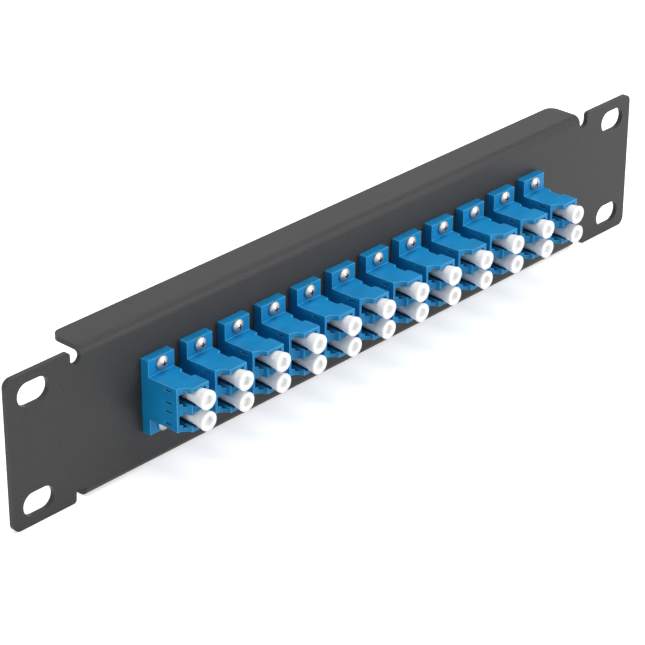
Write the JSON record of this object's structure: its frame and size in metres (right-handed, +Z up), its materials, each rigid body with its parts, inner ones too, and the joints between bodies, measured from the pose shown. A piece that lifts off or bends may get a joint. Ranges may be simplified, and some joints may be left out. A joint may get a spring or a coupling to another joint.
{
  "type": "fibre patch panel",
  "caption": "Ten-inch rack fibre patch panel: folded steel front with slotted ears, a row of upright duplex adapters and round dust caps.",
  "frame": {"origin": "middle of the four rack slots, on the ears' rear face, which lies against the rack posts", "axes": "+X along the panel to the right seen from the front, +Y backwards into the rack, +Z up"},
  "size_m": [0.254, 0.0346, 0.044],
  "materials": {
    "black_powder_coat": "fine matt powder coat",
    "blue_plastic": "satin moulded plastic",
    "white_ceramic": "polished ceramic",
    "plated_steel": "bright plated",
    "white_cap_plastic": "soft translucent plastic"
  },
  "bodies": {
    "panel": {"rack_panel": "black_powder_coat", "adapter_front_housings": "blue_plastic", "adapter_rear_housings": "blue_plastic", "alignment_sleeves": "white_ceramic", "flange_screws": "plated_steel", "flange_nuts": "plated_steel"},
    "front_cap_01_upper": {"front_cap_01_upper": "white_cap_plastic"},
    "front_cap_01_lower": {"front_cap_01_lower": "white_cap_plastic"},
    "front_cap_02_upper": {"front_cap_02_upper": "white_cap_plastic"},
    "front_cap_02_lower": {"front_cap_02_lower": "white_cap_plastic"},
    "front_cap_03_upper": {"front_cap_03_upper": "white_cap_plastic"},
    "front_cap_03_lower": {"front_cap_03_lower": "white_cap_plastic"},
    "front_cap_04_upper": {"front_cap_04_upper": "white_cap_plastic"},
    "front_cap_04_lower": {"front_cap_04_lower": "white_cap_plastic"},
    "front_cap_05_upper": {"front_cap_05_upper": "white_cap_plastic"},
    "front_cap_05_lower": {"front_cap_05_lower": "white_cap_plastic"},
    "front_cap_06_upper": {"front_cap_06_upper": "white_cap_plastic"},
    "front_cap_06_lower": {"front_cap_06_lower": "white_cap_plastic"},
    "front_cap_07_upper": {"front_cap_07_upper": "white_cap_plastic"},
    "front_cap_07_lower": {"front_cap_07_lower": "white_cap_plastic"},
    "front_cap_08_upper": {"front_cap_08_upper": "white_cap_plastic"},
    "front_cap_08_lower": {"front_cap_08_lower": "white_cap_plastic"},
    "front_cap_09_upper": {"front_cap_09_upper": "white_cap_plastic"},
    "front_cap_09_lower": {"front_cap_09_lower": "white_cap_plastic"},
    "front_cap_10_upper": {"front_cap_10_upper": "white_cap_plastic"},
    "front_cap_10_lower": {"front_cap_10_lower": "white_cap_plastic"},
    "front_cap_11_upper": {"front_cap_11_upper": "white_cap_plastic"},
    "front_cap_11_lower": {"front_cap_11_lower": "white_cap_plastic"},
    "front_cap_12_upper": {"front_cap_12_upper": "white_cap_plastic"},
    "front_cap_12_lower": {"front_cap_12_lower": "white_cap_plastic"},
    "rear_cap_01_upper": {"rear_cap_01_upper": "white_cap_plastic"},
    "rear_cap_01_lower": {"rear_cap_01_lower": "white_cap_plastic"},
    "rear_cap_02_upper": {"rear_cap_02_upper": "white_cap_plastic"},
    "rear_cap_02_lower": {"rear_cap_02_lower": "white_cap_plastic"},
    "rear_cap_03_upper": {"rear_cap_03_upper": "white_cap_plastic"},
    "rear_cap_03_lower": {"rear_cap_03_lower": "white_cap_plastic"},
    "rear_cap_04_upper": {"rear_cap_04_upper": "white_cap_plastic"},
    "rear_cap_04_lower": {"rear_cap_04_lower": "white_cap_plastic"},
    "rear_cap_05_upper": {"rear_cap_05_upper": "white_cap_plastic"},
    "rear_cap_05_lower": {"rear_cap_05_lower": "white_cap_plastic"},
    "rear_cap_06_upper": {"rear_cap_06_upper": "white_cap_plastic"},
    "rear_cap_06_lower": {"rear_cap_06_lower": "white_cap_plastic"},
    "rear_cap_07_upper": {"rear_cap_07_upper": "white_cap_plastic"},
    "rear_cap_07_lower": {"rear_cap_07_lower": "white_cap_plastic"},
    "rear_cap_08_upper": {"rear_cap_08_upper": "white_cap_plastic"},
    "rear_cap_08_lower": {"rear_cap_08_lower": "white_cap_plastic"},
    "rear_cap_09_upper": {"rear_cap_09_upper": "white_cap_plastic"},
    "rear_cap_09_lower": {"rear_cap_09_lower": "white_cap_plastic"},
    "rear_cap_10_upper": {"rear_cap_10_upper": "white_cap_plastic"},
    "rear_cap_10_lower": {"rear_cap_10_lower": "white_cap_plastic"},
    "rear_cap_11_upper": {"rear_cap_11_upper": "white_cap_plastic"},
    "rear_cap_11_lower": {"rear_cap_11_lower": "white_cap_plastic"},
    "rear_cap_12_upper": {"rear_cap_12_upper": "white_cap_plastic"},
    "rear_cap_12_lower": {"rear_cap_12_lower": "white_cap_plastic"}
  },
  "joints": [
    {"name": "front_cap_01_upper_pull", "type": "slide", "parent": "panel", "child": "front_cap_01_upper", "axis": [0, -1, 0], "range_m": [0, 0.0099]},
    {"name": "front_cap_01_lower_pull", "type": "slide", "parent": "panel", "child": "front_cap_01_lower", "axis": [0, -1, 0], "range_m": [0, 0.0099]},
    {"name": "front_cap_02_upper_pull", "type": "slide", "parent": "panel", "child": "front_cap_02_upper", "axis": [0, -1, 0], "range_m": [0, 0.0099]},
    {"name": "front_cap_02_lower_pull", "type": "slide", "parent": "panel", "child": "front_cap_02_lower", "axis": [0, -1, 0], "range_m": [0, 0.0099]},
    {"name": "front_cap_03_upper_pull", "type": "slide", "parent": "panel", "child": "front_cap_03_upper", "axis": [0, -1, 0], "range_m": [0, 0.0099]},
    {"name": "front_cap_03_lower_pull", "type": "slide", "parent": "panel", "child": "front_cap_03_lower", "axis": [0, -1, 0], "range_m": [0, 0.0099]},
    {"name": "front_cap_04_upper_pull", "type": "slide", "parent": "panel", "child": "front_cap_04_upper", "axis": [0, -1, 0], "range_m": [0, 0.0099]},
    {"name": "front_cap_04_lower_pull", "type": "slide", "parent": "panel", "child": "front_cap_04_lower", "axis": [0, -1, 0], "range_m": [0, 0.0099]},
    {"name": "front_cap_05_upper_pull", "type": "slide", "parent": "panel", "child": "front_cap_05_upper", "axis": [0, -1, 0], "range_m": [0, 0.0099]},
    {"name": "front_cap_05_lower_pull", "type": "slide", "parent": "panel", "child": "front_cap_05_lower", "axis": [0, -1, 0], "range_m": [0, 0.0099]},
    {"name": "front_cap_06_upper_pull", "type": "slide", "parent": "panel", "child": "front_cap_06_upper", "axis": [0, -1, 0], "range_m": [0, 0.0099]},
    {"name": "front_cap_06_lower_pull", "type": "slide", "parent": "panel", "child": "front_cap_06_lower", "axis": [0, -1, 0], "range_m": [0, 0.0099]},
    {"name": "front_cap_07_upper_pull", "type": "slide", "parent": "panel", "child": "front_cap_07_upper", "axis": [0, -1, 0], "range_m": [0, 0.0099]},
    {"name": "front_cap_07_lower_pull", "type": "slide", "parent": "panel", "child": "front_cap_07_lower", "axis": [0, -1, 0], "range_m": [0, 0.0099]},
    {"name": "front_cap_08_upper_pull", "type": "slide", "parent": "panel", "child": "front_cap_08_upper", "axis": [0, -1, 0], "range_m": [0, 0.0099]},
    {"name": "front_cap_08_lower_pull", "type": "slide", "parent": "panel", "child": "front_cap_08_lower", "axis": [0, -1, 0], "range_m": [0, 0.0099]},
    {"name": "front_cap_09_upper_pull", "type": "slide", "parent": "panel", "child": "front_cap_09_upper", "axis": [0, -1, 0], "range_m": [0, 0.0099]},
    {"name": "front_cap_09_lower_pull", "type": "slide", "parent": "panel", "child": "front_cap_09_lower", "axis": [0, -1, 0], "range_m": [0, 0.0099]},
    {"name": "front_cap_10_upper_pull", "type": "slide", "parent": "panel", "child": "front_cap_10_upper", "axis": [0, -1, 0], "range_m": [0, 0.0099]},
    {"name": "front_cap_10_lower_pull", "type": "slide", "parent": "panel", "child": "front_cap_10_lower", "axis": [0, -1, 0], "range_m": [0, 0.0099]},
    {"name": "front_cap_11_upper_pull", "type": "slide", "parent": "panel", "child": "front_cap_11_upper", "axis": [0, -1, 0], "range_m": [0, 0.0099]},
    {"name": "front_cap_11_lower_pull", "type": "slide", "parent": "panel", "child": "front_cap_11_lower", "axis": [0, -1, 0], "range_m": [0, 0.0099]},
    {"name": "front_cap_12_upper_pull", "type": "slide", "parent": "panel", "child": "front_cap_12_upper", "axis": [0, -1, 0], "range_m": [0, 0.0099]},
    {"name": "front_cap_12_lower_pull", "type": "slide", "parent": "panel", "child": "front_cap_12_lower", "axis": [0, -1, 0], "range_m": [0, 0.0099]},
    {"name": "rear_cap_01_upper_pull", "type": "slide", "parent": "panel", "child": "rear_cap_01_upper", "axis": [0, 1, 0], "range_m": [0, 0.0099]},
    {"name": "rear_cap_01_lower_pull", "type": "slide", "parent": "panel", "child": "rear_cap_01_lower", "axis": [0, 1, 0], "range_m": [0, 0.0099]},
    {"name": "rear_cap_02_upper_pull", "type": "slide", "parent": "panel", "child": "rear_cap_02_upper", "axis": [0, 1, 0], "range_m": [0, 0.0099]},
    {"name": "rear_cap_02_lower_pull", "type": "slide", "parent": "panel", "child": "rear_cap_02_lower", "axis": [0, 1, 0], "range_m": [0, 0.0099]},
    {"name": "rear_cap_03_upper_pull", "type": "slide", "parent": "panel", "child": "rear_cap_03_upper", "axis": [0, 1, 0], "range_m": [0, 0.0099]},
    {"name": "rear_cap_03_lower_pull", "type": "slide", "parent": "panel", "child": "rear_cap_03_lower", "axis": [0, 1, 0], "range_m": [0, 0.0099]},
    {"name": "rear_cap_04_upper_pull", "type": "slide", "parent": "panel", "child": "rear_cap_04_upper", "axis": [0, 1, 0], "range_m": [0, 0.0099]},
    {"name": "rear_cap_04_lower_pull", "type": "slide", "parent": "panel", "child": "rear_cap_04_lower", "axis": [0, 1, 0], "range_m": [0, 0.0099]},
    {"name": "rear_cap_05_upper_pull", "type": "slide", "parent": "panel", "child": "rear_cap_05_upper", "axis": [0, 1, 0], "range_m": [0, 0.0099]},
    {"name": "rear_cap_05_lower_pull", "type": "slide", "parent": "panel", "child": "rear_cap_05_lower", "axis": [0, 1, 0], "range_m": [0, 0.0099]},
    {"name": "rear_cap_06_upper_pull", "type": "slide", "parent": "panel", "child": "rear_cap_06_upper", "axis": [0, 1, 0], "range_m": [0, 0.0099]},
    {"name": "rear_cap_06_lower_pull", "type": "slide", "parent": "panel", "child": "rear_cap_06_lower", "axis": [0, 1, 0], "range_m": [0, 0.0099]},
    {"name": "rear_cap_07_upper_pull", "type": "slide", "parent": "panel", "child": "rear_cap_07_upper", "axis": [0, 1, 0], "range_m": [0, 0.0099]},
    {"name": "rear_cap_07_lower_pull", "type": "slide", "parent": "panel", "child": "rear_cap_07_lower", "axis": [0, 1, 0], "range_m": [0, 0.0099]},
    {"name": "rear_cap_08_upper_pull", "type": "slide", "parent": "panel", "child": "rear_cap_08_upper", "axis": [0, 1, 0], "range_m": [0, 0.0099]},
    {"name": "rear_cap_08_lower_pull", "type": "slide", "parent": "panel", "child": "rear_cap_08_lower", "axis": [0, 1, 0], "range_m": [0, 0.0099]},
    {"name": "rear_cap_09_upper_pull", "type": "slide", "parent": "panel", "child": "rear_cap_09_upper", "axis": [0, 1, 0], "range_m": [0, 0.0099]},
    {"name": "rear_cap_09_lower_pull", "type": "slide", "parent": "panel", "child": "rear_cap_09_lower", "axis": [0, 1, 0], "range_m": [0, 0.0099]},
    {"name": "rear_cap_10_upper_pull", "type": "slide", "parent": "panel", "child": "rear_cap_10_upper", "axis": [0, 1, 0], "range_m": [0, 0.0099]},
    {"name": "rear_cap_10_lower_pull", "type": "slide", "parent": "panel", "child": "rear_cap_10_lower", "axis": [0, 1, 0], "range_m": [0, 0.0099]},
    {"name": "rear_cap_11_upper_pull", "type": "slide", "parent": "panel", "child": "rear_cap_11_upper", "axis": [0, 1, 0], "range_m": [0, 0.0099]},
    {"name": "rear_cap_11_lower_pull", "type": "slide", "parent": "panel", "child": "rear_cap_11_lower", "axis": [0, 1, 0], "range_m": [0, 0.0099]},
    {"name": "rear_cap_12_upper_pull", "type": "slide", "parent": "panel", "child": "rear_cap_12_upper", "axis": [0, 1, 0], "range_m": [0, 0.0099]},
    {"name": "rear_cap_12_lower_pull", "type": "slide", "parent": "panel", "child": "rear_cap_12_lower", "axis": [0, 1, 0], "range_m": [0, 0.0099]}
  ]
}
